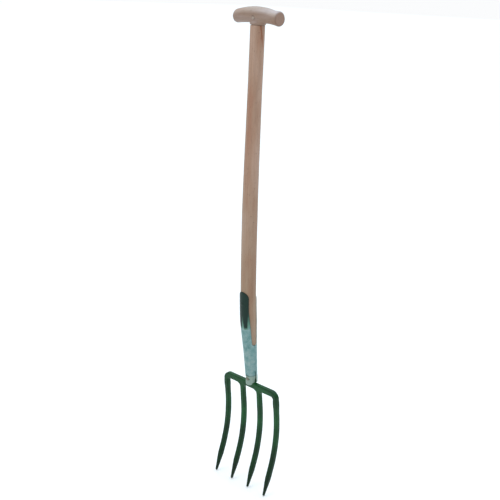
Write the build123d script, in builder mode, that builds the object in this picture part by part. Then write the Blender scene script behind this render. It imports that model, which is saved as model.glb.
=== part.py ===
from build123d import *
import os
from math import cos, radians, sin, tan

# A four-tine lawn and garden fork with a bent wooden shaft and a wooden T grip, in millimetres.
#
# +Z runs up the straight top of the shaft, +X along the T grip, and -Y is the front, the side that
# the tine tips curve towards. The origin lies on the shaft's axis, level with the underside of the
# grip, which is where the fork hangs on a rack. A drop is a distance below that origin.

os.makedirs("parts", exist_ok=True)

# ---------------------------------------------------------------- driving dimensions
FORK_DROP = 1143.0            # underside of the grip to the tine tips
BAR_DROP = 876.5              # to the middle of the tine bar

# Shaft: parallel at the top, then a taper, a long slight bend to the rear and a firmer one.
SHAFT_TOP_RADIUS = 17.1
SHAFT_LOW_RADIUS = 19.0
PARALLEL_END = 168.0
TAPER_END = 443.0
BEND_START = 263.0
SLIGHT_BEND_RADIUS = 8000.0
SLIGHT_BEND_ANGLE = 2.7
FIRM_BEND_RADIUS = 1000.0
FIRM_BEND_ANGLE = 4.6
NECK_START = 704.0            # the wood and its socket narrow from here
NECK_MIDDLE = 790.0
NECK_END = 850.0
NECK_MIDDLE_RADIUS = 14.9     # of the wood, or of the socket's bore
NECK_END_RADIUS = 13.2
SHAFT_FOOT = 826.0            # end of the wood, inside the socket
BEND_STATIONS = (350.0, 535.0, 625.0)   # the bent bar is made in short lengths between these
NOTCH_STATION = 665.0

# T grip, and its joint: a round tenon in a blind mortise, held by one cross dowel.
GRIP_AXIS = 16.6
GRIP_HALF_LENGTH = 69.2
GRIP_END_ROUND = 5.0
TENON_RADIUS = 12.0
TENON_LENGTH = 26.0
MORTISE_DEPTH = 27.0
DOWEL_RADIUS = 4.0
DOWEL_LENGTH = 34.0

# Socket: two pressed half shells, each a strap above and a tongue below, welded side to side.
SHEET = 1.8
FRONT_STRAP_TOP = 624.0
REAR_STRAP_TOP = 638.0
STRAP_HALF_WIDTH = 16.1
STRAP_CORNER = 12.5
NOTCH_HALF_WIDTH = 13.4       # of the wood left bare between the straps, at each side
NOTCH_NARROWS = 675.0
NOTCH_FOOT = 766.0
NOTCH_FOOT_RADIUS = 7.6
SHELL_GAP = 0.3
SLIT_TOP = 836.0
SLIT_WIDTH = 5.5
TONGUE_FOOT = 874.5
TONGUE_HALF_WIDTH = 15.1
TONGUE_CORNER = 9.0

# Tine head: one forging, with the bar, four tines and a round boss that stands in the socket.
TINE_COUNT = 4
TINE_SPACING = 58.0
TINE_WIDTH = 10.7
TINE_DEPTH = 11.3
BAR_HEIGHT = 14.4
BAR_Y = 32.1
SHOULDER_BULGE = 1.5
BULGE_END = 921.0
SHOULDER_RADIUS = 21.0
ROOT_RADIUS = 10.0
TINE_LEAN = 7.1               # degrees, to the rear as the tine leaves the bar
LEAN_END = 936.0
TINE_BEND_RADIUS = 340.0
TINE_BEND_ANGLE = 24.2
POINT_LENGTH = 42.0           # seen from the side
FRONT_POINT_LENGTH = 52.0     # seen from the front
POINT_SIZE = 5.0
BOSS_RADIUS = 13.1
BOSS_TOP = 840.0
BOSS_FOOT = 873.0

# Rivets, front to rear through the straps and the wood, and a short one through the boss.
UPPER_RIVET_DROP = 655.0
LOWER_RIVET_DROP = 749.0
FOOT_RIVET_DROP = 857.5
RIVET_RADIUS = 2.5
HEAD_RADIUS = 5.0
HEAD_HEIGHT = 1.7
HEAD_SEAT = 0.6               # how deep a head or a burr is let into the curved strap
BURR_THICKNESS = 1.5
FIT = 0.05


# ---------------------------------------------------------------- the centreline
with BuildLine(Plane.YZ) as centreline:
    straight = Line((0, 0), (0, -BEND_START))
    slight = JernArc(straight @ 1, straight % 1, SLIGHT_BEND_RADIUS, SLIGHT_BEND_ANGLE)
    firm = JernArc(slight @ 1, slight % 1, FIRM_BEND_RADIUS, FIRM_BEND_ANGLE)
    lean = tan(radians(SLIGHT_BEND_ANGLE + FIRM_BEND_ANGLE))
    below = FORK_DROP - BAR_DROP
    neck_foot = firm @ 1 + Vector(0, lean * below, -below)
    neck_run = Line(firm @ 1, neck_foot)
shaft_line = centreline.wires()[0]


def across(drop):
    """The plane square to the centreline, facing down it, at a drop."""
    near, far = 0.0, 1.0
    while far - near > 1e-7:
        middle = (near + far) / 2
        if -(shaft_line @ middle).Z < drop:
            near = middle
        else:
            far = middle
    return Plane(shaft_line @ near, x_dir=(1, 0, 0), z_dir=shaft_line % near)


def wood_radius(drop):
    """The radius of the shaft, or of the bore of its socket, at a drop."""
    stations = (
        (0.0, SHAFT_TOP_RADIUS),
        (PARALLEL_END, SHAFT_TOP_RADIUS),
        (TAPER_END, SHAFT_LOW_RADIUS),
        (NECK_START, SHAFT_LOW_RADIUS),
        (NECK_MIDDLE, NECK_MIDDLE_RADIUS),
        (NECK_END, NECK_END_RADIUS),
        (FORK_DROP, NECK_END_RADIUS),
    )
    for (top, top_radius), (foot, foot_radius) in zip(stations, stations[1:]):
        if drop <= foot:
            return top_radius + (foot_radius - top_radius) * (drop - top) / (foot - top)


def disc(plane, radius):
    """A round section on a plane."""
    with BuildSketch(plane) as section:
        Circle(radius)
    return section.sketch


def round_bar(drops, growth=0.0, mode=Mode.ADD):
    """Add or cut a round bar along the centreline, as thick as the wood plus a growth in radius."""
    for top, foot in zip(drops, drops[1:]):
        loft([disc(across(drop), wood_radius(drop) + growth) for drop in (top, foot)], mode=mode)


def rivet_plane(drop):
    """The plane on the centreline whose Z faces the front, square to the strap, at a drop."""
    square = across(drop)
    return Plane(square.origin, x_dir=(1, 0, 0), z_dir=square.y_dir)


def cut_rivet_hole(drop):
    """Cut a rivet's hole, with a seat at the front and the rear for its head and its burr."""
    middle = rivet_plane(drop)
    reach = wood_radius(drop) + SHEET
    extrude(disc(middle, RIVET_RADIUS + FIT), amount=2 * reach, both=True, mode=Mode.SUBTRACT)
    front_seat = disc(middle.offset(reach - HEAD_SEAT), HEAD_RADIUS + FIT)
    rear_seat = disc(middle.offset(HEAD_SEAT - reach), HEAD_RADIUS + FIT)
    extrude(front_seat, amount=2 * SHEET, mode=Mode.SUBTRACT)
    extrude(rear_seat, amount=-2 * SHEET, mode=Mode.SUBTRACT)


# ---------------------------------------------------------------- wooden parts
# The T grip is turned and sanded: crowned on top, nearly straight below, with flat round-edged ends
# and a flared boss that meets the shaft's shoulder. The shaft's tenon stands in its blind mortise.
grip_sections = (
    # distance along the grip, half height, half width, rise above the grip's axis
    (-GRIP_HALF_LENGTH, 16.0, 16.8, 0.8),
    (-50.0, 16.6, 17.2, 3.6),
    (-30.0, 17.6, 17.5, 5.8),
    (0.0, 18.6, 17.8, 6.2),
    (30.0, 17.2, 17.3, 4.9),
    (50.0, 16.2, 16.8, 2.2),
    (GRIP_HALF_LENGTH, 17.4, 17.4, -0.2),
)
boss_sections = (
    # height above the shaft's shoulder, half length along the grip, half width across it
    (0.0, 18.3, 17.6),
    (4.0, 20.4, 17.2),
    (9.0, 27.0, 14.0),
)

with BuildPart() as t_grip:
    for x, high, wide, rise in grip_sections:
        with BuildSketch(Plane((x, 0, GRIP_AXIS + rise), x_dir=(0, 1, 0), z_dir=(1, 0, 0))):
            Ellipse(wide, high)
    loft()
    fillet(t_grip.faces().filter_by(Plane.YZ).edges(), GRIP_END_ROUND)
    for height, long_half, short_half in boss_sections:
        with BuildSketch(Plane.XY.offset(height)):
            Ellipse(long_half, short_half)
    loft()
    with BuildSketch(Plane.XY):
        Circle(TENON_RADIUS + FIT)
    extrude(amount=MORTISE_DEPTH, mode=Mode.SUBTRACT)
    with BuildSketch(Plane.XZ.offset(-GRIP_HALF_LENGTH)):
        with Locations((0, GRIP_AXIS)):
            Circle(DOWEL_RADIUS)
    extrude(amount=2 * GRIP_HALF_LENGTH, mode=Mode.SUBTRACT)
t_grip.part.label = "t_grip"
export_step(t_grip.part, "parts/t_grip.step")

with BuildPart() as shaft:
    upper, middle, lower = BEND_STATIONS
    round_bar((0, PARALLEL_END, BEND_START, upper, TAPER_END, middle, lower))
    round_bar((lower, NOTCH_STATION, NECK_START, NECK_MIDDLE, SHAFT_FOOT))
    with BuildSketch(Plane.XY):
        Circle(TENON_RADIUS)
    extrude(amount=TENON_LENGTH)
    with BuildSketch(Plane.XZ.offset(-GRIP_HALF_LENGTH)):
        with Locations((0, GRIP_AXIS)):
            Circle(DOWEL_RADIUS)
    extrude(amount=2 * GRIP_HALF_LENGTH, mode=Mode.SUBTRACT)
    cut_rivet_hole(UPPER_RIVET_DROP)
    cut_rivet_hole(LOWER_RIVET_DROP)
shaft.part.label = "shaft"
export_step(shaft.part, "parts/shaft.step")

with BuildPart() as grip_dowel:
    with BuildSketch(Plane.XZ.offset(-DOWEL_LENGTH / 2)):
        with Locations((0, GRIP_AXIS)):
            Circle(DOWEL_RADIUS)
    extrude(amount=DOWEL_LENGTH)
    chamfer(grip_dowel.edges().filter_by(GeomType.CIRCLE), 0.5)
grip_dowel.part.label = "grip_dowel"
export_step(grip_dowel.part, "parts/grip_dowel.step")


# ---------------------------------------------------------------- outlines of the metal parts
def beside(point, angle, distance):
    """In the side view, a point moved square to a line that drops at an angle to the rear."""
    return point + Vector(cos(radians(angle)), sin(radians(angle))) * distance


def down(point, angle, distance):
    """In the side view, a point moved down a line that drops at an angle to the rear."""
    return point + Vector(sin(radians(angle)), -cos(radians(angle))) * distance


def head_side(top_drop, half_depth):
    """The tine head seen from the side: a leaning root, the forward curve and the tapered point."""
    point_angle = TINE_LEAN - TINE_BEND_ANGLE
    bar = Vector(BAR_Y, -BAR_DROP)
    top = down(bar, TINE_LEAN, (top_drop - BAR_DROP) / cos(radians(TINE_LEAN)))
    bend = down(bar, TINE_LEAN, (LEAN_END - BAR_DROP) / cos(radians(TINE_LEAN)))
    centre = beside(bend, TINE_LEAN, -TINE_BEND_RADIUS)
    bend_end = beside(centre, point_angle, TINE_BEND_RADIUS)
    tip = down(bend_end, point_angle, (FORK_DROP + bend_end.Y) / cos(radians(point_angle)))
    point_start = down(tip, point_angle, -POINT_LENGTH)
    with BuildSketch(Plane.YZ) as outline:
        with BuildLine():
            for side in (1, -1):
                offset = side * half_depth
                root = Line(beside(top, TINE_LEAN, offset), beside(bend, TINE_LEAN, offset))
                curve = JernArc(root @ 1, root % 1, TINE_BEND_RADIUS + offset, -TINE_BEND_ANGLE)
                run = Line(curve @ 1, beside(point_start, point_angle, offset))
                Line(run @ 1, beside(tip, point_angle, side * POINT_SIZE / 2))
            Line(beside(top, TINE_LEAN, half_depth), beside(top, TINE_LEAN, -half_depth))
            Line(beside(tip, point_angle, POINT_SIZE / 2), beside(tip, point_angle, -POINT_SIZE / 2))
        make_face()
    return outline.sketch


def shell_front(strap_top):
    """A shell seen from the front, with the strap's top and the tongue's foot rounded."""
    side = (
        (STRAP_HALF_WIDTH, -strap_top),
        (STRAP_HALF_WIDTH, -strap_top - 3 * STRAP_CORNER),
        (SHAFT_LOW_RADIUS + 2 * SHEET, -NOTCH_FOOT),
        (TONGUE_HALF_WIDTH, -NECK_END),
        (TONGUE_HALF_WIDTH, -TONGUE_FOOT),
    )
    with BuildSketch(Plane.XZ) as outline:
        with BuildLine():
            Polyline(*side, *[(-x, z) for x, z in reversed(side)], close=True)
        make_face()
        fillet(outline.vertices().group_by(Axis.Y)[-1], STRAP_CORNER)
        fillet(outline.vertices().group_by(Axis.Y)[0], TONGUE_CORNER)
    return outline.sketch


def side_band(stations):
    """A closed outline in the side view, from (drop, distance to the rear of the centreline)."""
    with BuildSketch(Plane.YZ) as outline:
        with BuildLine():
            Polyline(*[(across(drop).origin.Y + rear, -drop) for drop, rear in stations], close=True)
        make_face()
    return outline.sketch


def through_sides(sketch, mode):
    """Cut or keep a side view outline, right through the part from side to side."""
    extrude(sketch, amount=2 * SHAFT_LOW_RADIUS, both=True, mode=mode)


# ---------------------------------------------------------------- the socket's two half shells
def half_shell(strap_top, rearward):
    """Make one half shell in the open part: the rear one if rearward is 1, the front one if -1."""
    drops = (strap_top - SHEET, NOTCH_STATION, NECK_START, NECK_MIDDLE, NECK_END, TONGUE_FOOT + SHEET)
    bore_drops = (strap_top - 2 * SHEET, *drops[1:-1], TONGUE_FOOT + 2 * SHEET)
    round_bar(drops, SHEET)
    round_bar(bore_drops, FIT, mode=Mode.SUBTRACT)
    extrude(shell_front(strap_top), amount=4 * SHAFT_LOW_RADIUS, both=True, mode=Mode.INTERSECT)
    seam = [(drop, rearward * SHELL_GAP / 2) for drop in bore_drops]
    far = [(drop, rearward * 3 * SHAFT_LOW_RADIUS) for drop in reversed(bore_drops)]
    through_sides(side_band(seam + far), Mode.INTERSECT)
    # The notch leaves the wood bare at the side, and the slit below lets the shells straddle the bar.
    notch_centre = NOTCH_FOOT - NOTCH_FOOT_RADIUS
    notch = (
        (bore_drops[0], NOTCH_HALF_WIDTH),
        (NOTCH_NARROWS, NOTCH_HALF_WIDTH),
        (notch_centre, NOTCH_FOOT_RADIUS),
    )
    slit = ((SLIT_TOP, SLIT_WIDTH / 2), (FORK_DROP, SLIT_WIDTH / 2))
    for opening in (notch, slit):
        mirrored = [(drop, -half) for drop, half in reversed(opening)]
        through_sides(side_band([*opening, *mirrored]), Mode.SUBTRACT)
    for drop, radius in ((notch_centre, NOTCH_FOOT_RADIUS), (SLIT_TOP, SLIT_WIDTH / 2)):
        through_sides(disc(Plane(across(drop).origin, z_dir=(1, 0, 0)), radius), Mode.SUBTRACT)
    through_sides(head_side(BAR_DROP - BAR_HEIGHT / 2 - 1, TINE_DEPTH / 2 + FIT), Mode.SUBTRACT)
    for drop in (UPPER_RIVET_DROP, LOWER_RIVET_DROP, FOOT_RIVET_DROP):
        cut_rivet_hole(drop)


with BuildPart() as front_shell:
    half_shell(FRONT_STRAP_TOP, -1)
front_shell.part.label = "front_shell"
export_step(front_shell.part, "parts/front_shell.step")

with BuildPart() as rear_shell:
    half_shell(REAR_STRAP_TOP, 1)
rear_shell.part.label = "rear_shell"
export_step(rear_shell.part, "parts/rear_shell.step")


# ---------------------------------------------------------------- the tine head
with BuildPart() as tine_head:
    half_head = (TINE_COUNT - 1) / 2 * TINE_SPACING + TINE_WIDTH / 2
    bar_foot = BAR_DROP + BAR_HEIGHT / 2
    bar_top = BAR_DROP - BAR_HEIGHT / 2
    with BuildSketch(Plane.XZ) as comb:
        with Locations((0, -BAR_DROP)):
            Rectangle(2 * half_head, BAR_HEIGHT)
        with GridLocations(TINE_SPACING, 1, TINE_COUNT, 1):
            Polygon(
                (TINE_WIDTH / 2, -BAR_DROP),
                (TINE_WIDTH / 2, FRONT_POINT_LENGTH - FORK_DROP),
                (POINT_SIZE / 2, -FORK_DROP - POINT_SIZE),
                (-POINT_SIZE / 2, -FORK_DROP - POINT_SIZE),
                (-TINE_WIDTH / 2, FRONT_POINT_LENGTH - FORK_DROP),
                (-TINE_WIDTH / 2, -BAR_DROP),
                align=None,
            )
        on_bar_foot = comb.vertices().filter_by(lambda v: abs(v.Y + bar_foot) < 0.1)
        fillet(on_bar_foot.filter_by(lambda v: abs(v.X) < half_head - 1), ROOT_RADIUS)
        for side in (1, -1):
            Polygon(
                (side * (half_head - 1), -bar_top),
                (side * (half_head + SHOULDER_BULGE), -bar_top),
                (side * (half_head + SHOULDER_BULGE), -bar_top - SHOULDER_RADIUS - 6),
                (side * half_head, -BULGE_END),
                (side * (half_head - 1), -BULGE_END),
                align=None,
            )
        on_bar_top = comb.vertices().filter_by(lambda v: abs(v.Y + bar_top) < 0.1)
        fillet(on_bar_top.filter_by(lambda v: abs(v.X) > half_head), SHOULDER_RADIUS)
    extrude(amount=TINE_SPACING, both=True)
    side_view = head_side(bar_top - BAR_HEIGHT, TINE_DEPTH / 2)
    extrude(side_view, amount=TINE_SPACING * TINE_COUNT, both=True, mode=Mode.INTERSECT)
    loft([disc(across(drop), BOSS_RADIUS) for drop in (BOSS_TOP, BOSS_FOOT)])
    cut_rivet_hole(FOOT_RIVET_DROP)
tine_head.part.label = "tine_head"
export_step(tine_head.part, "parts/tine_head.step")


# ---------------------------------------------------------------- rivets
def rivet(drop, tail):
    """Make a round-headed rivet in the open part, headed at the front, with its tail to the rear."""
    middle = rivet_plane(drop)
    seat = wood_radius(drop) + SHEET - HEAD_SEAT
    extrude(disc(middle.offset(-seat - tail), RIVET_RADIUS), amount=2 * seat + tail)
    extrude(disc(middle.offset(seat), HEAD_RADIUS), amount=HEAD_SEAT + HEAD_HEIGHT)
    fillet(edges().sort_by(Axis(middle.origin, middle.z_dir))[-1], HEAD_HEIGHT - HEAD_SEAT)


with BuildPart() as upper_rivet:
    rivet(UPPER_RIVET_DROP, BURR_THICKNESS + 1)
upper_rivet.part.label = "upper_rivet"
export_step(upper_rivet.part, "parts/upper_rivet.step")

with BuildPart() as lower_rivet:
    rivet(LOWER_RIVET_DROP, BURR_THICKNESS + 1)
lower_rivet.part.label = "lower_rivet"
export_step(lower_rivet.part, "parts/lower_rivet.step")

with BuildPart() as foot_rivet:
    rivet(FOOT_RIVET_DROP, HEAD_SEAT + 0.4)
foot_rivet.part.label = "foot_rivet"
export_step(foot_rivet.part, "parts/foot_rivet.step")

# Two burrs, the washers that the rivets' tails are hammered over.
with BuildPart() as rivet_burrs:
    for drop in (UPPER_RIVET_DROP, LOWER_RIVET_DROP):
        seat = rivet_plane(drop).offset(HEAD_SEAT - wood_radius(drop) - SHEET)
        extrude(disc(seat, HEAD_RADIUS) - disc(seat, RIVET_RADIUS + FIT), amount=-BURR_THICKNESS)
rivet_burrs.part.label = "rivet_burrs"
export_step(rivet_burrs.part, "parts/rivet_burrs.step")
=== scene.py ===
from math import acos, asin, cos, exp, pi, radians, sin, sqrt, tan

import bmesh
import bpy
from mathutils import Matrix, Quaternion, Vector, noise


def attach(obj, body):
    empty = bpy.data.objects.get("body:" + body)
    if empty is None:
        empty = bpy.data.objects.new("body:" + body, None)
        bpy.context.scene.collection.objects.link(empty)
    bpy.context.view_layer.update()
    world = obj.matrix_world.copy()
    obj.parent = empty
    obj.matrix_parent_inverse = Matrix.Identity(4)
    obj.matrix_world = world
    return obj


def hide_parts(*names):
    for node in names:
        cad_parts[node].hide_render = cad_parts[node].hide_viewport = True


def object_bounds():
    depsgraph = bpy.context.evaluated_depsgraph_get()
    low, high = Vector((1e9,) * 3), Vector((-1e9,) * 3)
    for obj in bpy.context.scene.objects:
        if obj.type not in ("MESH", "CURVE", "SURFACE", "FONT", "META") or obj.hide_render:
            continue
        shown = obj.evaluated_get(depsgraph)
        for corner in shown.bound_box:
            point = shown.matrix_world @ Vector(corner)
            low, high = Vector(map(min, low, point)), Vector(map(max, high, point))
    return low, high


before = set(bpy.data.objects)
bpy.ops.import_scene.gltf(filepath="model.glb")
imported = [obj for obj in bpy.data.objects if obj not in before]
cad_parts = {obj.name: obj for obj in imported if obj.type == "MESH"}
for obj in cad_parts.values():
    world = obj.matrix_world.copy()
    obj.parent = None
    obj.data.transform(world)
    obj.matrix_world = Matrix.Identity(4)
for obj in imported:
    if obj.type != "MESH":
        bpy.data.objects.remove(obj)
cad_low, cad_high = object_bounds()


# ------------------------------------------------------------------------------------- camera
# The fork is looked at from its front right corner, from a little above the grip's height and
# about two metres away, with the camera held slightly off level.
VIEW_FROM = Vector((1.5307, -1.5307, 0.0725))
VIEW_TO = Vector((0.0, 0.0077, -0.5239))
CAMERA_ROLL = radians(2.6)

camera_data = bpy.data.cameras.new("studio_camera")
camera_data.sensor_width = 36.0
camera_data.lens = 67.73
camera = bpy.data.objects.new("studio_camera", camera_data)
bpy.context.scene.collection.objects.link(camera)
camera.rotation_mode = "QUATERNION"
camera.location = VIEW_FROM
aim = (VIEW_TO - VIEW_FROM).to_track_quat("-Z", "Y")
camera.rotation_quaternion = aim @ Quaternion((0, 0, 1), CAMERA_ROLL)
bpy.context.scene.camera = camera


# ----------------------------------------------------------------------------- light and floor
# A plain white studio sweep: a pale floor under the tine points, even light from all round, one
# large soft lamp high on the left and a weaker one on the right.
def linear(hex_colour, alpha=1.0):
    """An sRGB hex colour as the linear values that a shader socket takes."""
    channels = [int(hex_colour[i:i + 2], 16) / 255 for i in (1, 3, 5)]
    return [c / 12.92 if c <= 0.04045 else ((c + 0.055) / 1.055) ** 2.4 for c in channels] + [alpha]


def add_node(tree, kind, inputs=None, **settings):
    """Add one node with its settings; an input is a value, a socket or a node's first output."""
    made = tree.nodes.new(kind)
    for setting, value in settings.items():
        setattr(made, setting, value)
    for socket, value in (inputs or {}).items():
        if isinstance(value, bpy.types.Node):
            value = value.outputs[0]
        if isinstance(value, bpy.types.NodeSocket):
            tree.links.new(value, made.inputs[socket])
        else:
            made.inputs[socket].default_value = value
    return made


def new_material(name):
    """A node material with nothing in it but its output."""
    material = bpy.data.materials.new(name)
    material.use_nodes = True
    material.node_tree.nodes.clear()
    return material, material.node_tree


def set_stops(ramp, first, last, *between):
    """Set a colour ramp's stops, each given as its place and its sRGB hex colour."""
    stops = ramp.color_ramp.elements
    for stop, (place, colour) in ((stops[0], first), (stops[1], last)):
        stop.position = place
        stop.color = linear(colour)
    for place, colour in between:
        stops.new(place).color = linear(colour)


world = bpy.data.worlds.new("studio_air")
bpy.context.scene.world = world
world.use_nodes = True
world.node_tree.nodes.clear()
# The backdrop itself is white; what it sends onto the fork is weaker than what falls from above.
seen = add_node(world.node_tree, "ShaderNodeLightPath")
glow = add_node(world.node_tree, "ShaderNodeMapRange", {
    "Value": seen.outputs["Is Camera Ray"], "To Min": 0.66, "To Max": 1.0})
air = add_node(world.node_tree, "ShaderNodeBackground", {"Color": linear("#fbfcfd"), "Strength": glow})
add_node(world.node_tree, "ShaderNodeOutputWorld", {"Surface": air})
bpy.context.scene.view_settings.view_transform = "Standard"


def soft_lamp(name, place, width, power, colour):
    """A square area lamp aimed at the middle of the fork."""
    data = bpy.data.lights.new(name, "AREA")
    data.shape = "SQUARE"
    data.size = width
    data.energy = power
    data.color = linear(colour)[:3]
    lamp = bpy.data.objects.new(name, data)
    lamp.location = place
    lamp.rotation_euler = (VIEW_TO - Vector(place)).to_track_quat("-Z", "Y").to_euler()
    bpy.context.scene.collection.objects.link(lamp)


soft_lamp("key_lamp", (-0.6, -2.6, 1.6), 1.6, 22.0, "#fffaf4")
soft_lamp("fill_lamp", (2.4, 0.6, 1.2), 1.8, 9.0, "#f2f7ff")

overhead_data = bpy.data.lights.new("overhead_light", "SUN")
overhead_data.energy = 2.1
overhead_data.color = (0.72, 0.88, 1.0)
overhead_data.angle = radians(80)
overhead = bpy.data.objects.new("overhead_light", overhead_data)
overhead.rotation_euler = (radians(-14), radians(-8), 0.0)
bpy.context.scene.collection.objects.link(overhead)

FLOOR_HALF_WIDTH = 60.0
floor_mesh = bpy.data.meshes.new("studio_floor")
floor_z = cad_low.z - 0.0005
floor_corners = [(x * FLOOR_HALF_WIDTH, y * FLOOR_HALF_WIDTH, floor_z)
                 for x, y in ((-1, -1), (1, -1), (1, 1), (-1, 1))]
floor_mesh.from_pydata(floor_corners, [], [(0, 1, 2, 3)])
floor_object = bpy.data.objects.new("studio_floor", floor_mesh)
bpy.context.scene.collection.objects.link(floor_object)
floor_paint, tree = new_material("matt_white_floor_paint")
floor_shader = add_node(tree, "ShaderNodeBsdfPrincipled", {
    "Base Color": linear("#f7f7f6"), "Roughness": 0.9})
add_node(tree, "ShaderNodeOutputMaterial", {"Surface": floor_shader})
floor_mesh.materials.append(floor_paint)


# ------------------------------------------------------------------------------- the tine head
# One drop forging in carbon steel: a bar, four square tines that lean back and then curve forward
# to tapered points, and a round boss that stands in the socket. Dipped in glossy green enamel.
MM = 0.001                        # sizes are in mm, and drops are depths below the grip
BAR_DROP = 876.5
BAR_Y = 32.1
TINE_LEAN = radians(7.1)
LEAN_END_DROP = 936.0
TINE_BEND_RADIUS = 340.0
TINE_BEND_ANGLE = radians(24.2)
TIP_DROP = 1143.0
TINE_SPACING = 58.0
TINE_HALF_WIDTH = 5.6
TINE_HALF_DEPTH = 5.8
BAR_HALF_HEIGHT = 7.8
CORNER_RADIUS = 12.5
ROOT_RADIUS = 11.0
SHOULDER_LENGTH = 24.0            # the outer tines are thickest here, below the bar
SHOULDER_SPREAD = 15.0
POINT_LENGTH = 46.0
POINT_HALF_SIZE = 2.3
BOSS_RADIUS = 13.0
BOSS_HEIGHT_IN_SOCKET = 34.0
BOSS_DEPTH_OFFSET = 2.2           # the socket's neck stands a little behind the bar's middle
FORGED_STEP = 0.92                # edge length of the finished mesh


STRAIGHT_LENGTH = (LEAN_END_DROP - BAR_DROP) / cos(TINE_LEAN)
CURVE_LENGTH = TINE_BEND_RADIUS * TINE_BEND_ANGLE


def side_view(length):
    """Where the head's middle line is, and its angle to the vertical, at a length below the bar."""
    y = BAR_Y + min(length, STRAIGHT_LENGTH) * sin(TINE_LEAN)
    drop = BAR_DROP + min(length, STRAIGHT_LENGTH) * cos(TINE_LEAN)
    turned = min(max(length - STRAIGHT_LENGTH, 0.0), CURVE_LENGTH) / TINE_BEND_RADIUS
    angle = TINE_LEAN - turned
    y += TINE_BEND_RADIUS * (cos(angle) - cos(TINE_LEAN))
    drop += TINE_BEND_RADIUS * (sin(TINE_LEAN) - sin(angle))
    rest = max(length - STRAIGHT_LENGTH - CURVE_LENGTH, 0.0)
    return y + rest * sin(angle), drop + rest * cos(angle), angle


def bent(x, length, depth):
    """A point of the flat head, in mm, moved onto the head's side view curve, in metres."""
    y, drop, angle = side_view(length)
    return Vector((x, y + depth * cos(angle), -drop + depth * sin(angle))) * MM


def square_ring(half_wide, half_deep, sides=32, squareness=8.0):
    """A closed ring of (across, depth) points round a square bar with worn corners."""
    ring = []
    for i in range(sides):
        c, s = cos(2 * pi * i / sides), sin(2 * pi * i / sides)
        reach = (abs(c) ** squareness + abs(s) ** squareness) ** (-1 / squareness)
        ring.append((half_wide * reach * c, half_deep * reach * s))
    return ring


def skin(rings):
    """Vertices and faces of a closed tube through equal rings of points, with its ends filled."""
    count = len(rings[0])
    points = [p for ring in rings for p in ring]
    faces = []
    for row in range(len(rings) - 1):
        for i in range(count):
            here, beside = row * count + i, row * count + (i + 1) % count
            faces.append((here, beside, beside + count, here + count))
    faces.append(tuple(reversed(range(count))))
    faces.append(tuple(range(len(points) - count, len(points))))
    return points, faces


def mesh_object(name, parts):
    """One object from several closed shells of points and faces."""
    points, faces = [], []
    for part_points, part_faces in parts:
        start = len(points)
        points += [Vector(p) for p in part_points]
        faces += [tuple(start + i for i in face) for face in part_faces]
    mesh = bpy.data.meshes.new(name)
    mesh.from_pydata(points, [], faces)
    made = bpy.data.objects.new(name, mesh)
    bpy.context.scene.collection.objects.link(made)
    return made


def bake_modifiers(made):
    """Turn what the modifiers show into the object's own mesh, and take the modifiers off."""
    depsgraph = bpy.context.evaluated_depsgraph_get()
    baked = bpy.data.meshes.new_from_object(made.evaluated_get(depsgraph), depsgraph=depsgraph)
    made.modifiers.clear()
    made.data = baked
    baked.name = made.name


def face_outwards(made, angle=None):
    """Merge doubles, turn every face outwards and shade smooth, apart from edges past an angle."""
    shape = bmesh.new()
    shape.from_mesh(made.data)
    bmesh.ops.remove_doubles(shape, verts=shape.verts, dist=1e-6)
    bmesh.ops.recalc_face_normals(shape, faces=shape.faces)
    shape.to_mesh(made.data)
    shape.free()
    made.data.polygons.foreach_set("use_smooth", [True] * len(made.data.polygons))
    if angle is not None:
        made.data.set_sharp_from_angle(angle=angle)
    made.data.update()


def move_vertices(made, rule):
    """Move every vertex to where a rule sends it, from its place and its normal."""
    places = [vertex.co.copy() for vertex in made.data.vertices]
    normals = [vertex.normal.copy() for vertex in made.data.vertices]
    moved = [value for place, normal in zip(places, normals) for value in rule(place, normal)]
    made.data.vertices.foreach_set("co", moved)
    made.data.update()


bend_end = side_view(STRAIGHT_LENGTH + CURVE_LENGTH)
TINE_LENGTH = STRAIGHT_LENGTH + CURVE_LENGTH + (TIP_DROP - bend_end[1]) / cos(bend_end[2])
OUTER_X = 1.5 * TINE_SPACING


def tine_size(length):
    """The tine's half width and half depth at a length below the bar, tapering to the point."""
    left = max(TINE_LENGTH - length, 0.0)
    taper = min(left / POINT_LENGTH, 1.0)
    taper = taper * (1.15 - 0.15 * taper)
    swell = 0.25 * sin(pi * min(length / TINE_LENGTH, 1.0))
    end = sqrt(max(1.0 - max(1.0 - left / 2.2, 0.0) ** 2, 0.02))
    wide = (POINT_HALF_SIZE + (TINE_HALF_WIDTH + swell - POINT_HALF_SIZE) * taper) * end
    deep = (POINT_HALF_SIZE + (TINE_HALF_DEPTH + swell - POINT_HALF_SIZE) * taper) * end
    return wide, deep


def tine_stations(start):
    """Lengths from a start down to the tip, closer together at the rounded end."""
    body = [start + (TINE_LENGTH - 3 - start) * i / 90 for i in range(91)]
    return body + [TINE_LENGTH - 3 + 3 * sin(pi / 2 * i / 8) for i in range(1, 9)]


def inner_tine(x):
    """A tine with its root flared both ways into the bar."""
    rings = []
    for length in [0.0, 3.5] + tine_stations(BAR_HALF_HEIGHT - 0.6):
        wide, deep = tine_size(length)
        below = min(max(length - BAR_HALF_HEIGHT + 0.6, 0.0) / ROOT_RADIUS, 1.0)
        wide += ROOT_RADIUS * (1 - sqrt(1 - (1 - below) ** 2))
        rings.append([(x + across, length, depth) for across, depth in square_ring(wide, deep)])
    return skin(rings)


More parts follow.
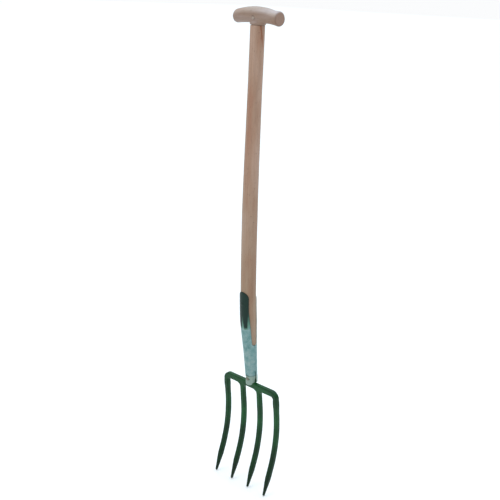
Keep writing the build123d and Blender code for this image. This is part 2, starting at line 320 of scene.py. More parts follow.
def bar_and_outer_tines():
    """The bar, bent down at both ends into the two outer tines."""
    half = []
    for length in reversed(tine_stations(CORNER_RADIUS)):
        wide, deep = tine_size(length)
        bulge = exp(-((length - SHOULDER_LENGTH) / SHOULDER_SPREAD) ** 2)
        wide += 1.0 * bulge
        deep += 0.7 * bulge
        half.append(((OUTER_X, length), (1.0, 0.0), wide, deep))
    for i in range(1, 15):
        turn = pi / 2 * i / 15
        middle = (OUTER_X - CORNER_RADIUS * (1 - cos(turn)), CORNER_RADIUS * (1 - sin(turn)))
        thick = TINE_HALF_WIDTH + 0.6 + (BAR_HALF_HEIGHT - TINE_HALF_WIDTH - 0.6) * i / 15
        half.append((middle, (cos(turn), -sin(turn)), thick, TINE_HALF_DEPTH + 0.7 - 0.6 * i / 15))
    stops = [i / 40 for i in range(40)]
    reach = OUTER_X - CORNER_RADIUS
    bar_size = ((0.0, -1.0), BAR_HALF_HEIGHT, TINE_HALF_DEPTH + 0.1)
    half += [((reach * (1 - stop), 0.0), *bar_size) for stop in stops]
    middle = [((0.0, 0.0), *bar_size)]
    mirrored = [((-x, length), (-out_x, out_length), thick, deep)
                for (x, length), (out_x, out_length), thick, deep in reversed(half)]
    rings = []
    for (x, length), (out_x, out_length), thick, deep in half + middle + mirrored:
        ring = square_ring(thick, deep)
        rings.append([(x + out_x * across, length + out_length * across, depth)
                      for across, depth in ring])
    return skin(rings)


def boss():
    """The round boss, a little wider where it runs into the bar."""
    rings = []
    circle = [(cos(2 * pi * i / 48), sin(2 * pi * i / 48)) for i in range(48)]
    stations = ((-BOSS_HEIGHT_IN_SOCKET, BOSS_RADIUS - 1.5), (1.5 - BOSS_HEIGHT_IN_SOCKET, BOSS_RADIUS),
                (-8.0, BOSS_RADIUS), (-3.6, BOSS_RADIUS - 0.4), (-1.5, BOSS_RADIUS - 3))
    for length, radius in stations:
        rings.append([(radius * c, length, BOSS_DEPTH_OFFSET + radius * s) for c, s in circle])
    return skin(rings)


inner_tines = [inner_tine(side * TINE_SPACING / 2) for side in (-1, 1)]
head = mesh_object("forged_tine_head", [bar_and_outer_tines(), *inner_tines, boss()])
face_outwards(head)
remesh = head.modifiers.new("one_forging", "REMESH")
remesh.mode = "VOXEL"
remesh.voxel_size = FORGED_STEP
smooth = head.modifiers.new("blended_roots", "SMOOTH")
smooth.factor = 0.5
smooth.iterations = 3
bake_modifiers(head)


def hammered(place, normal):
    """A forged skin's slow waves, then the head's side view curve."""
    wave = 0.20 * noise.noise(place / 22.0) + 0.08 * noise.noise(place / 6.0 + Vector((31, 7, 3)))
    x, length, depth = place + normal * wave
    return bent(x, length, depth)


move_vertices(head, hammered)
face_outwards(head)


def green_enamel():
    """Dark green dipping enamel on forged steel: glossy, deep green, with a soft mottle of the dip."""
    material, tree = new_material("dark_green_dipped_enamel")
    where = add_node(tree, "ShaderNodeTexCoord").outputs["Object"]
    # The dip drifts slowly over 45 mm, and a mottle of 7 mm and a forged skin of 1.5 mm lie in it.
    drift = add_node(tree, "ShaderNodeTexNoise", {"Vector": where, "Scale": 1 / (45 * MM), "Detail": 3.0})
    mottle = add_node(tree, "ShaderNodeTexNoise", {"Vector": where, "Scale": 1 / (7 * MM), "Detail": 5.0})
    skin_noise = add_node(tree, "ShaderNodeTexNoise", {
        "Vector": where, "Scale": 1 / (1.5 * MM), "Detail": 2.0})
    greens = add_node(tree, "ShaderNodeValToRGB", {"Fac": drift})
    set_stops(greens, (0.34, "#0b3519"), (0.68, "#145226"))
    shades = add_node(tree, "ShaderNodeMapRange", {
        "Value": mottle, "From Min": 0.3, "From Max": 0.75, "To Min": 0.72, "To Max": 1.12})
    # The enamel is made darker towards the tines' points.
    height = add_node(tree, "ShaderNodeSeparateXYZ", {"Vector": where}).outputs["Z"]
    darker_towards_points = add_node(tree, "ShaderNodeMapRange", {
        "Value": height, "From Min": -1.10, "From Max": -0.97, "To Min": 0.35, "To Max": 1.0})
    shades = add_node(tree, "ShaderNodeMath", {0: shades, 1: darker_towards_points}, operation="MULTIPLY")
    body = add_node(tree, "ShaderNodeVectorMath", {0: greens, "Scale": shades}, operation="SCALE")
    gloss = add_node(tree, "ShaderNodeMapRange", {"Value": mottle, "To Min": 0.24, "To Max": 0.44})
    ripple = add_node(tree, "ShaderNodeBump", {"Height": mottle, "Strength": 0.35, "Distance": 0.5 * MM})
    skin_bump = add_node(tree, "ShaderNodeBump", {
        "Height": skin_noise, "Strength": 0.25, "Distance": 0.12 * MM, "Normal": ripple})
    shader = add_node(tree, "ShaderNodeBsdfPrincipled", {
        "Base Color": body, "Roughness": gloss, "Specular IOR Level": 0.17, "Normal": skin_bump})
    add_node(tree, "ShaderNodeOutputMaterial", {"Surface": shader})
    return material


enamel = green_enamel()
head.data.materials.clear()
head.data.materials.append(enamel)
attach(head, "root")
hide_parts("tine_head")


# ------------------------------------------------------------------------------------ the shaft
# A sanded ash shaft, left bare: parallel under the grip, thicker below, steamed to a slight bend
# and cut to a taper that fills the socket. A round tenon at its top sits inside the grip.
SHAFT_TOP_RADIUS = 17.1
SHAFT_LOW_RADIUS = 19.0
PARALLEL_END = 168.0
TAPER_END = 443.0
BEND_START = 263.0
SLIGHT_BEND_RADIUS = 8000.0
FIRM_BEND_RADIUS = 1000.0
SLIGHT_LEAN = radians(2.7)
NECK_LEAN = radians(7.3)
NECK_START = 704.0
NECK_MIDDLE = 790.0
NECK_END = 850.0
NECK_MIDDLE_RADIUS = 14.9
NECK_END_RADIUS = 13.2
SHAFT_FOOT = 826.0
TENON_RADIUS = 12.0
TENON_LENGTH = 26.0


def centreline(drop):
    """How far to the rear the shaft's middle is at a drop, and its angle to the vertical."""
    slight_end = BEND_START + SLIGHT_BEND_RADIUS * sin(SLIGHT_LEAN)
    firm_end = slight_end + FIRM_BEND_RADIUS * (sin(NECK_LEAN) - sin(SLIGHT_LEAN))
    if drop <= BEND_START:
        return 0.0, 0.0
    if drop <= slight_end:
        angle = asin((drop - BEND_START) / SLIGHT_BEND_RADIUS)
        return SLIGHT_BEND_RADIUS * (1 - cos(angle)), angle
    rear = SLIGHT_BEND_RADIUS * (1 - cos(SLIGHT_LEAN))
    angle = asin(min((drop - slight_end) / FIRM_BEND_RADIUS + sin(SLIGHT_LEAN), sin(NECK_LEAN)))
    rear += FIRM_BEND_RADIUS * (cos(SLIGHT_LEAN) - cos(angle))
    return rear + max(drop - firm_end, 0.0) * tan(NECK_LEAN), angle


def wood_radius(drop):
    """The shaft's radius, or the socket's bore, at a drop."""
    stations = ((-TENON_LENGTH, SHAFT_TOP_RADIUS), (PARALLEL_END, SHAFT_TOP_RADIUS),
                (TAPER_END, SHAFT_LOW_RADIUS),
                (NECK_START, SHAFT_LOW_RADIUS), (NECK_MIDDLE, NECK_MIDDLE_RADIUS),
                (NECK_END, NECK_END_RADIUS),
                (TIP_DROP, NECK_END_RADIUS))
    for (top, top_radius), (foot, foot_radius) in zip(stations, stations[1:]):
        if drop <= foot:
            return top_radius + (foot_radius - top_radius) * (drop - top) / (foot - top)


def path_object(name, points, radii):
    """A line of vertices, each with its own radius, for a Geometry Nodes tree to follow."""
    mesh = bpy.data.meshes.new(name)
    mesh.from_pydata([p * MM for p in points], [(i, i + 1) for i in range(len(points) - 1)], [])
    thickness = mesh.attributes.new("thickness", "FLOAT", "POINT")
    for i, radius in enumerate(radii):
        thickness.data[i].value = radius * MM
    made = bpy.data.objects.new(name, mesh)
    bpy.context.scene.collection.objects.link(made)
    return made


def new_tree(name, inputs):
    """A Geometry Nodes tree with named inputs, given as name: (socket type, value)."""
    tree = bpy.data.node_groups.new(name, "GeometryNodeTree")
    tree.interface.new_socket("Geometry", in_out="INPUT", socket_type="NodeSocketGeometry")
    tree.interface.new_socket("Geometry", in_out="OUTPUT", socket_type="NodeSocketGeometry")
    for label, (kind, value) in inputs.items():
        socket = tree.interface.new_socket(label, in_out="INPUT", socket_type=kind)
        if value is not None:
            socket.default_value = value
    return tree, add_node(tree, "NodeGroupInput").outputs


def close_tree(tree, geometry, material):
    """End a tree: real geometry in place of instances, with its material on."""
    real = add_node(tree, "GeometryNodeRealizeInstances", {"Geometry": geometry})
    finished = add_node(tree, "GeometryNodeSetMaterial", {"Geometry": real, "Material": material})
    add_node(tree, "NodeGroupOutput", {0: finished})


def run_tree(made, tree, values):
    """Put a tree on an object with its own input values, and keep the result as a plain mesh."""
    modifier = made.modifiers.new(tree.name, "NODES")
    modifier.node_group = tree
    for item in tree.interface.items_tree:
        if item.in_out == "INPUT" and item.name in values:
            modifier[item.identifier] = values[item.name]
    bake_modifiers(made)


def turned_bar_tree():
    """A round bar along a line, with a slightly uneven hand-sanded skin."""
    tree, given = new_tree("turned_bar", {
        "Sides": ("NodeSocketInt", 64), "Unevenness": ("NodeSocketFloat", 0.0003),
        "Wave length": ("NodeSocketFloat", 0.06), "Finish": ("NodeSocketMaterial", None)})
    line = add_node(tree, "GeometryNodeMeshToCurve", {"Mesh": given["Geometry"]})
    thickness = add_node(tree, "GeometryNodeInputNamedAttribute", {
        "Name": "thickness"}, data_type="FLOAT")
    along = add_node(tree, "GeometryNodeSplineParameter")
    marked = add_node(tree, "GeometryNodeStoreNamedAttribute", {
        "Geometry": line, "Name": "along", "Value": along.outputs["Length"]}, data_type="FLOAT",
        domain="POINT")
    circle = add_node(tree, "GeometryNodeCurvePrimitiveCircle", {
        "Resolution": given["Sides"], "Radius": 1.0})
    round_place = add_node(tree, "GeometryNodeInputPosition")
    rim = add_node(tree, "GeometryNodeStoreNamedAttribute", {
        "Geometry": circle, "Name": "across", "Value": round_place}, data_type="FLOAT_VECTOR",
        domain="POINT")
    bar = add_node(tree, "GeometryNodeCurveToMesh", {
        "Curve": marked, "Profile Curve": rim, "Scale": thickness, "Fill Caps": True})
    across_value = add_node(tree, "GeometryNodeInputNamedAttribute", {
        "Name": "across"}, data_type="FLOAT_VECTOR")
    along_value = add_node(tree, "GeometryNodeInputNamedAttribute", {"Name": "along"}, data_type="FLOAT")
    sized = add_node(tree, "ShaderNodeVectorMath", {
        0: across_value, "Scale": thickness}, operation="SCALE")
    raised = add_node(tree, "ShaderNodeCombineXYZ", {"Z": along_value})
    grain = add_node(tree, "ShaderNodeVectorMath", {0: sized, 1: raised}, operation="ADD")
    grained = add_node(tree, "GeometryNodeStoreNamedAttribute", {
        "Geometry": bar, "Name": "grain", "Value": grain}, data_type="FLOAT_VECTOR", domain="POINT")
    waves = add_node(tree, "ShaderNodeMath", {0: 1.0, 1: given["Wave length"]}, operation="DIVIDE")
    swell = add_node(tree, "ShaderNodeTexNoise", {"Scale": waves, "Detail": 1.0})
    hollow = add_node(tree, "ShaderNodeMath", {0: swell, 1: 0.85}, operation="SUBTRACT")
    height = add_node(tree, "ShaderNodeMath", {0: hollow, 1: given["Unevenness"]}, operation="MULTIPLY")
    normal = add_node(tree, "GeometryNodeInputNormal")
    push = add_node(tree, "ShaderNodeVectorMath", {0: normal, "Scale": height}, operation="SCALE")
    uneven = add_node(tree, "GeometryNodeSetPosition", {"Geometry": grained, "Offset": push})
    close_tree(tree, uneven, given["Finish"])
    return tree


def along_grain(tree, where, width, length, settings):
    """Noise drawn out along the grain, in cells of a width and a length in mm."""
    stretch = (1 / (width * MM), 1 / (width * MM), 1 / (length * MM))
    drawn_out = add_node(tree, "ShaderNodeMapping", {"Vector": where, "Scale": stretch})
    return add_node(tree, "ShaderNodeTexNoise", {"Vector": drawn_out, "Scale": 1.0, **settings})


def bare_wood(name, light, middle, warm, grain_place):
    """Bare sanded ash or beech: matt, with pink and grey clouds, grain lines and short dark flecks.

    grain_place adds the nodes that give the place in the wood, as across, across and along in
    metres, and returns their socket.
    """
    material, tree = new_material(name)
    where = grain_place(tree)
    # Streaks 2.5 mm wide and 120 mm long, and growth lines 3.2 mm apart, pulled long by the grain.
    streaks = along_grain(tree, where, 2.5, 120, {"Detail": 6.0, "Roughness": 0.62})
    leaning = add_node(tree, "ShaderNodeMapping", {
        "Vector": where, "Location": (0.021, 0.013, 0.0), "Rotation": (0.03, 0.02, 0.0),
        "Scale": (1.0, 1.0, 0.12)})
    rings = add_node(tree, "ShaderNodeTexWave", {
        "Vector": leaning, "Scale": 2 * pi / (20 * 3.2 * MM), "Distortion": 3.0, "Detail": 3.0,
        "Detail Scale": 0.35}, wave_type="RINGS", rings_direction="Z", wave_profile="SAW")
    # Clouds of pinker and greyer wood, 30 mm wide and 140 mm long.
    clouds = along_grain(tree, where, 30, 140, {"Detail": 3.0})
    # Ray flecks and pores, 0.9 mm wide and 6 mm long: coarser than real ones, so that they show.
    dashes = along_grain(tree, where, 0.9, 6, {"Detail": 2.0})
    # Pin knots and dirt specks, 2 to 4 mm across and about 15 mm apart.
    specks = add_node(tree, "ShaderNodeTexVoronoi", {"Vector": where, "Scale": 1 / (15 * MM)})
    speck_shade = add_node(tree, "ShaderNodeMapRange", {
        "Value": specks, "From Min": 0.05, "From Max": 0.13, "To Min": 0.66, "To Max": 1.0})
    tone = add_node(tree, "ShaderNodeValToRGB", {"Fac": clouds})
    set_stops(tone, (0.32, warm), (0.66, light), (0.48, middle))
    streak_shade = add_node(tree, "ShaderNodeMapRange", {
        "Value": streaks, "From Min": 0.25, "From Max": 0.75, "To Min": 0.88, "To Max": 1.08})
    ring_shade = add_node(tree, "ShaderNodeMapRange", {
        "Value": rings.outputs["Fac"], "To Min": 1.02, "To Max": 0.94})
    fleck_shade = add_node(tree, "ShaderNodeMapRange", {
        "Value": dashes, "From Min": 0.62, "From Max": 0.70, "To Min": 1.0, "To Max": 0.70})
    shade = streak_shade
    for other in (ring_shade, fleck_shade, speck_shade):
        shade = add_node(tree, "ShaderNodeMath", {0: shade, 1: other}, operation="MULTIPLY")
    colour = add_node(tree, "ShaderNodeVectorMath", {0: tone, "Scale": shade}, operation="SCALE")
    dull = add_node(tree, "ShaderNodeMapRange", {"Value": streaks, "To Min": 0.52, "To Max": 0.74})
    raised = add_node(tree, "ShaderNodeBump", {"Height": shade, "Strength": 0.30, "Distance": 0.25 * MM})
    shader = add_node(tree, "ShaderNodeBsdfPrincipled", {
        "Base Color": colour, "Roughness": dull, "Specular IOR Level": 0.22, "Sheen Weight": 0.10,
        "Sheen Roughness": 0.5, "Normal": raised})
    add_node(tree, "ShaderNodeOutputMaterial", {"Surface": shader})
    return material, tree, shader, colour


def shaft_grain(tree):
    """The place in the straight billet that the shaft was bent from, which Geometry Nodes stored."""
    return add_node(tree, "ShaderNodeAttribute", attribute_name="grain").outputs["Vector"]


shaft_wood, shaft_tree, shaft_shader, shaft_colour = bare_wood(
    "bare_sanded_ash", "#ab8f7e", "#a1826e", "#9b7560", shaft_grain)

# A narrow orange-brown stain runs 50 mm down from under the grip and drifts round to the right.
stain_place = add_node(shaft_tree, "ShaderNodeTexCoord").outputs["Object"]
stain_parts = add_node(shaft_tree, "ShaderNodeSeparateXYZ", {"Vector": stain_place}).outputs
waver = add_node(shaft_tree, "ShaderNodeTexNoise", {"Vector": stain_place, "Scale": 1 / (9 * MM)})
drift = add_node(shaft_tree, "ShaderNodeMath", {
    0: stain_parts["Z"], 1: 0.19, 2: 5.0 * MM}, operation="MULTIPLY_ADD")
drift = add_node(shaft_tree, "ShaderNodeMath", {0: waver, 1: 3 * MM, 2: drift}, operation="MULTIPLY_ADD")
off_line = add_node(shaft_tree, "ShaderNodeMath", {0: stain_parts["Y"], 1: drift}, operation="ADD")
off_line = add_node(shaft_tree, "ShaderNodeMath", {0: off_line}, operation="ABSOLUTE")
narrow = add_node(shaft_tree, "ShaderNodeMapRange", {
    "Value": off_line, "From Min": 0.8 * MM, "From Max": 3.2 * MM, "To Min": 0.85, "To Max": 0.0},
    interpolation_type="SMOOTHSTEP")
short = add_node(shaft_tree, "ShaderNodeMapRange", {
    "Value": stain_parts["Z"], "From Min": -56 * MM, "From Max": -30 * MM})
right = add_node(shaft_tree, "ShaderNodeMath", {0: stain_parts["X"], 1: 0.0}, operation="GREATER_THAN")
stain = add_node(shaft_tree, "ShaderNodeMath", {0: narrow, 1: short}, operation="MULTIPLY")
stain = add_node(shaft_tree, "ShaderNodeMath", {0: stain, 1: right}, operation="MULTIPLY")
stained = add_node(shaft_tree, "ShaderNodeMix", {
    0: stain, 6: shaft_colour, 7: linear("#86543a")}, data_type="RGBA")
# Low on the shaft the ash is painted a little greyer and greener than at the top: painted shade lower
# down.
low_shade = add_node(shaft_tree, "ShaderNodeMapRange", {
    "Value": stain_parts["Z"], "From Min": -0.30, "From Max": -0.62})
shaded_low_wood = add_node(shaft_tree, "ShaderNodeVectorMath", {
    0: stained.outputs[2], 1: (0.89, 0.98, 0.95)}, operation="MULTIPLY")
low_shaded_wood = add_node(shaft_tree, "ShaderNodeMix", {
    0: low_shade, 6: stained.outputs[2], 7: shaded_low_wood}, data_type="RGBA")
shaft_tree.links.new(low_shaded_wood.outputs[2], shaft_shader.inputs["Base Color"])

body_drops = [0.8 + (SHAFT_FOOT - 2.8) * i / 300 for i in range(301)]
shaft_stations = [(-TENON_LENGTH, TENON_RADIUS - 1), (1 - TENON_LENGTH, TENON_RADIUS),
                  (-0.2, TENON_RADIUS),
                  (0.0, SHAFT_TOP_RADIUS - 0.8)]
shaft_stations += [(drop, wood_radius(drop)) for drop in body_drops] + [(SHAFT_FOOT,
                                                                         wood_radius(SHAFT_FOOT) - 1.5)]
shaft_points = [Vector((0, centreline(drop)[0], -drop)) for drop, radius in shaft_stations]
shaft_piece = path_object("bent_ash_shaft", shaft_points, [radius for drop, radius in shaft_stations])
run_tree(shaft_piece, turned_bar_tree(), {"Sides": 72, "Unevenness": 0.0006, "Wave length": 0.05,
                                          "Finish": shaft_wood})
face_outwards(shaft_piece, radians(40))
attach(shaft_piece, "root")
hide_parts("shaft")


# --------------------------------------------------------------------------- the socket's shells
# Two pressed steel half shells, welded side to side round the shaft's foot. Each ends above in a
# strap along the wood and below in a tongue over the bar. The green of the dip runs out on the
# strap, and below it the shell keeps a thin pale blue-grey coat.
SHEET = 1.8
STRAP_CORNER = 15.4
STRAP_HALF_WIDTH = 16.1
FRONT_STRAP_TOP = 625.2
REAR_STRAP_TOP = 638.0
NOTCH_HALF_WIDTH = 13.4
NOTCH_NARROWS = 675.0
NOTCH_FOOT = 766.0
NOTCH_FOOT_RADIUS = 7.6
SEAM_GAP = 0.2
SLIT_TOP = 836.0
SLIT_HALF_WIDTH = 0.9
SLIT_SPREADS = 852.0              # below here the slit opens out towards the bar
SLIT_SPREAD = 1.6
BAR_SLOT_TOP = 868.6
TONGUE_FOOT = 874.3
TONGUE_HALF_WIDTH = 15.0
TONGUE_CORNER = 9.0
FOOT_PULL_START = 846.0
FOOT_PULL = 1.9
CREASE_DROP = 849.0
CREASE_DEPTH = 0.7
FRONT_TONGUE_PRESSED = 1.2
REAR_TONGUE_PRESSED = -0.7
RIM_ROUND = 0.7
DIP_FOOT = 717.5                  # where the dip's dark green ends


def neck_middle(drop):
    """The shells' middle line: the shaft's, pulled forward at the foot towards the bar."""
    rear, angle = centreline(drop)
    return rear - FOOT_PULL * (max(drop - FOOT_PULL_START, 0.0) / 26.0) ** 2, angle


def rounded_corner(distance, half_width, corner):
    """The half width of a rounded end at a distance from its tip."""
    inside = max(corner - distance, 0.0)
    return half_width - corner + sqrt(max(corner ** 2 - inside ** 2, 0.0))


def half_angle(drop, strap_top, rearward):
    """How far round from its middle a shell reaches at a drop, in radians."""
    radius = wood_radius(drop) + SHEET
    strap = pi
    if drop < strap_top + 40:
        half_width = rounded_corner(drop - strap_top, STRAP_HALF_WIDTH, STRAP_CORNER)
        strap = asin(min(half_width / radius, 1.0))
    tongue = pi
    if drop > NECK_END:
        half_width = rounded_corner(TONGUE_FOOT - drop, TONGUE_HALF_WIDTH, TONGUE_CORNER)
        tongue = asin(min(half_width / radius, 1.0))
    notch_centre = NOTCH_FOOT - NOTCH_FOOT_RADIUS
    narrow = min(max((drop - NOTCH_NARROWS) / (notch_centre - NOTCH_NARROWS), 0.0), 1.0)
    open_half = NOTCH_HALF_WIDTH + (NOTCH_FOOT_RADIUS - NOTCH_HALF_WIDTH) * narrow
    if drop > notch_centre:
        open_half = sqrt(max(NOTCH_FOOT_RADIUS ** 2 - (drop - notch_centre) ** 2, SEAM_GAP ** 2))
    if drop > SLIT_TOP - SLIT_HALF_WIDTH:
        open_half = sqrt(max(SLIT_HALF_WIDTH ** 2 - max(SLIT_TOP - drop, 0.0) ** 2, SEAM_GAP ** 2))
        open_half += SLIT_SPREAD * min(max((drop - SLIT_SPREADS) / 14.0, 0.0), 1.0)
    if drop > BAR_SLOT_TOP:
        open_half = TINE_HALF_DEPTH + 0.2 - rearward * BOSS_DEPTH_OFFSET
    return min(strap, tongue, acos(min(open_half / radius, 1.0)))


def shell_drops(strap_top):
    """The heights of a shell's rows: close together at its ends, the notch's foot and the slit."""
    drops = [strap_top + STRAP_CORNER * (1 - cos(pi / 2 * i / 14)) for i in range(15)]
    drops += [drops[-1] + 1.6 * i for i in range(1, 200)]
    fine = [(NOTCH_FOOT - NOTCH_FOOT_RADIUS * cos(pi / 2 * i / 14)) for i in range(15)]
    fine += [SLIT_TOP - SLIT_HALF_WIDTH * cos(pi / 2 * i / 6) for i in range(7)]
    fine += [TONGUE_FOOT - TONGUE_CORNER * (1 - sin(pi / 2 * i / 16)) for i in range(17)]
    fine += [CREASE_DROP + 0.7 * i for i in range(-5, 6)] + [BAR_SLOT_TOP - 0.1, BAR_SLOT_TOP + 0.2]
    foot = TONGUE_FOOT - TONGUE_CORNER - 0.6
    coarse = [d for d in drops if d < foot and all(abs(d - f) > 0.9 for f in fine)]
    return sorted(coarse + fine)


def shell_ring(drop, strap_top, rearward):
    """One row of a shell: round its outside, over its rim and back along its inside."""
    rear, angle = neck_middle(drop)
    reach = half_angle(drop, strap_top, rearward)
    from_end = min(drop - strap_top, TONGUE_FOOT - drop)
    thick = SHEET * (0.55 + 0.45 * min(from_end / 5.0, 1.0) ** 0.5)
    inner = wood_radius(drop) + 0.08
    crease = CREASE_DEPTH * exp(-((drop - CREASE_DROP) / 1.1) ** 2)
    pressed = FRONT_TONGUE_PRESSED if rearward < 0 else REAR_TONGUE_PRESSED
    pressed *= min(max((drop - CREASE_DROP) / 10.0, 0.0), 1.0)
    columns = 40
    rim = min(RIM_ROUND, thick * 0.45)
    ring = []

    def put(turn, radius, from_rim):
        dented = 0.16 * noise.noise(Vector((turn * 18, drop, rearward * 40)) / 9.0)
        r = radius + dented - (crease + pressed) * cos(min(abs(turn), pi / 2)) ** 0.5
        depth = rearward * r * cos(turn)
        across = r * sin(turn)
        place = Vector((across, rear + depth * cos(angle), -drop + depth * sin(angle))) * MM
        from_rim += 1.0 if drop > NOTCH_FOOT else 0.0
        worn_edge = rearward > 0 and from_rim == 0.0 and drop < NOTCH_FOOT
        ring.append((place, -1.0 if worn_edge else from_rim, drop - CREASE_DROP))

    flat = max(reach - rim / inner, 0.0)
    for i in range(columns + 1):
        turn = flat * (2 * i / columns - 1)
        put(turn, inner + thick, (reach - abs(turn)) * inner)
    for i in range(1, 5):
        round_rim = pi / 2 * i / 4
        put(flat + rim / inner * sin(round_rim), inner + thick - rim * (1 - cos(round_rim)), 0.0)
    for i in range(columns + 1):
        turn = reach * (1 - 2 * i / columns)
        put(turn, inner, 0.0)
    for i in range(1, 4):
        round_rim = pi / 2 * i / 4
        put(-flat - rim / inner * cos(round_rim), inner + thick - rim * (1 - sin(round_rim)), 0.0)
    return ring


def keep_values(made, label, values):
    """Store a number at each vertex for a material to read."""
    kept = made.data.attributes.new(label, "FLOAT", "POINT")
    kept.data.foreach_set("value", values)


def half_shell(name, strap_top, rearward):
    """One half shell, with each point's distance to the shell's rim kept for the paint."""
    rings = [shell_ring(drop, strap_top, rearward) for drop in shell_drops(strap_top)]
    made = mesh_object(name, [skin([[point[0] for point in ring] for ring in rings])])
    for label, column in (("from_rim", 1), ("below_crease", 2)):
        keep_values(made, label, [point[column] for ring in rings for point in ring])
    face_outwards(made, radians(50))
    return made


def thin_coat():
    """Thin blue-grey coat over bright steel, mottled and worn, running into the dip's dark green.

    Semi-gloss, with cloudy patches 13 mm across and a 2 mm speckle; the coat is darker along the shells'
    rims, partly paint gathered there and partly painted shade at the edges, and a painted shade line lies
    along the crease.
    """
    material, tree = new_material("thin_blue_grey_coat_on_steel")
    where = add_node(tree, "ShaderNodeTexCoord").outputs["Object"]
    parts = add_node(tree, "ShaderNodeSeparateXYZ", {"Vector": where}).outputs
    clouds = add_node(tree, "ShaderNodeTexNoise", {
        "Vector": where, "Scale": 1 / (13 * MM), "Detail": 4.0, "Roughness": 0.6})
    speckle = add_node(tree, "ShaderNodeTexNoise", {
        "Vector": where, "Scale": 1 / (2.2 * MM), "Detail": 3.0})
    coat = add_node(tree, "ShaderNodeValToRGB", {"Fac": clouds})
    set_stops(coat, (0.30, "#517b7a"), (0.70, "#899f9d"), (0.46, "#6e9190"))
    speckled = add_node(tree, "ShaderNodeMapRange", {
        "Value": speckle, "From Min": 0.3, "From Max": 0.7, "To Min": 0.86, "To Max": 1.10})
    pale = add_node(tree, "ShaderNodeVectorMath", {0: coat, "Scale": speckled}, operation="SCALE")
    # Above its foot the dip is dark green. It gives way from higher up, through a light green, along a
    # streak 6 mm wide on the strap's middle and along its right edge: partly the dip worn thin there and
    # partly a painted reflection of the bright room on the strap's curve.
    off_streak = add_node(tree, "ShaderNodeMath", {0: parts["X"], 1: 0.5 * MM}, operation="SUBTRACT")
    off_streak = add_node(tree, "ShaderNodeMath", {0: off_streak}, operation="ABSOLUTE")
    middle_wear_and_reflection = add_node(tree, "ShaderNodeMapRange", {
        "Value": off_streak, "From Min": 0.6 * MM, "From Max": 4.2 * MM, "To Min": 30 * MM,
        "To Max": 0.0}, interpolation_type="SMOOTHSTEP")
    edge_wear_and_reflection = add_node(tree, "ShaderNodeMapRange", {
        "Value": parts["X"], "From Min": 11.0 * MM, "From Max": 15.0 * MM, "To Max": 42 * MM},
        interpolation_type="SMOOTHSTEP")
    rise = add_node(tree, "ShaderNodeMath", {0: middle_wear_and_reflection, 1: edge_wear_and_reflection}, operation="ADD")
    fade = add_node(tree, "ShaderNodeMath", {0: rise, 1: 7 * MM}, operation="ADD")
    waver = add_node(tree, "ShaderNodeMath", {
        0: clouds, 1: 10 * MM, 2: parts["Z"]}, operation="MULTIPLY_ADD")
    above = add_node(tree, "ShaderNodeMath", {0: waver, 1: DIP_FOOT * MM}, operation="ADD")
    dipped = add_node(tree, "ShaderNodeMath", {0: above, 1: fade}, operation="DIVIDE")
    green = add_node(tree, "ShaderNodeValToRGB", {"Fac": dipped})
    set_stops(green, (0.25, "#56806f"), (0.95, "#142c24"))
    covered = add_node(tree, "ShaderNodeMapRange", {"Value": dipped, "From Min": 0.0, "From Max": 0.3})
    crease = add_node(tree, "ShaderNodeAttribute", attribute_name="below_crease")
    tongue = add_node(tree, "ShaderNodeMapRange", {
        "Value": crease.outputs["Fac"], "From Min": 0.0, "From Max": 2.0})
    worn = add_node(tree, "ShaderNodeMix", {0: tongue, 6: pale, 7: linear("#85988d")}, data_type="RGBA")
    body = add_node(tree, "ShaderNodeMix", {0: covered, 6: worn.outputs[2], 7: green}, data_type="RGBA")
    # A painted shade line darkens the crease across the shells, darkest from the middle leftwards and
    # paler to the right.
    off_crease = add_node(tree, "ShaderNodeMath", {0: crease.outputs["Fac"]}, operation="ABSOLUTE")
    crease_shade_darkest = add_node(tree, "ShaderNodeMapRange", {
        "Value": parts["X"], "From Max": 9 * MM, "To Min": 0.16, "To Max": 0.75})
    crease_shade = add_node(tree, "ShaderNodeMapRange", {
        "Value": off_crease, "From Min": 0.9, "From Max": 2.2, "To Min": crease_shade_darkest, "To Max": 1.0})
    # Along the rims the coat is darker: partly paint gathered there and partly painted shade at the
    # edges.
    rim = add_node(tree, "ShaderNodeAttribute", attribute_name="from_rim")
    rim_paint_and_shade = add_node(tree, "ShaderNodeMapRange", {
        "Value": rim.outputs["Fac"], "From Min": 0.3, "From Max": 1.8, "To Min": 0.55, "To Max": 1.0})
    bare_edge = add_node(tree, "ShaderNodeMath", {0: rim.outputs["Fac"], 1: -0.5}, operation="LESS_THAN")
    body = add_node(tree, "ShaderNodeMix", {
        0: bare_edge, 6: body.outputs[2], 7: linear("#b0aa9e")}, data_type="RGBA")
    rim_paint_and_shade = add_node(tree, "ShaderNodeMath", {0: rim_paint_and_shade, 1: bare_edge}, operation="MAXIMUM")
    lines = add_node(tree, "ShaderNodeMath", {0: rim_paint_and_shade, 1: crease_shade}, operation="MULTIPLY")
    colour = add_node(tree, "ShaderNodeVectorMath", {
        0: body.outputs[2], "Scale": lines}, operation="SCALE")
    gloss = add_node(tree, "ShaderNodeMapRange", {"Value": speckle, "To Min": 0.30, "To Max": 0.52})
    orange_peel = add_node(tree, "ShaderNodeBump", {
        "Height": clouds, "Strength": 0.4, "Distance": 0.6 * MM})
    grit = add_node(tree, "ShaderNodeBump", {
        "Height": speckle, "Strength": 0.3, "Distance": 0.15 * MM, "Normal": orange_peel})
    shader = add_node(tree, "ShaderNodeBsdfPrincipled", {
        "Base Color": colour, "Metallic": 0.10, "Roughness": gloss, "Specular IOR Level": 0.22,
        "Normal": grit})
    add_node(tree, "ShaderNodeOutputMaterial", {"Surface": shader})
    return material


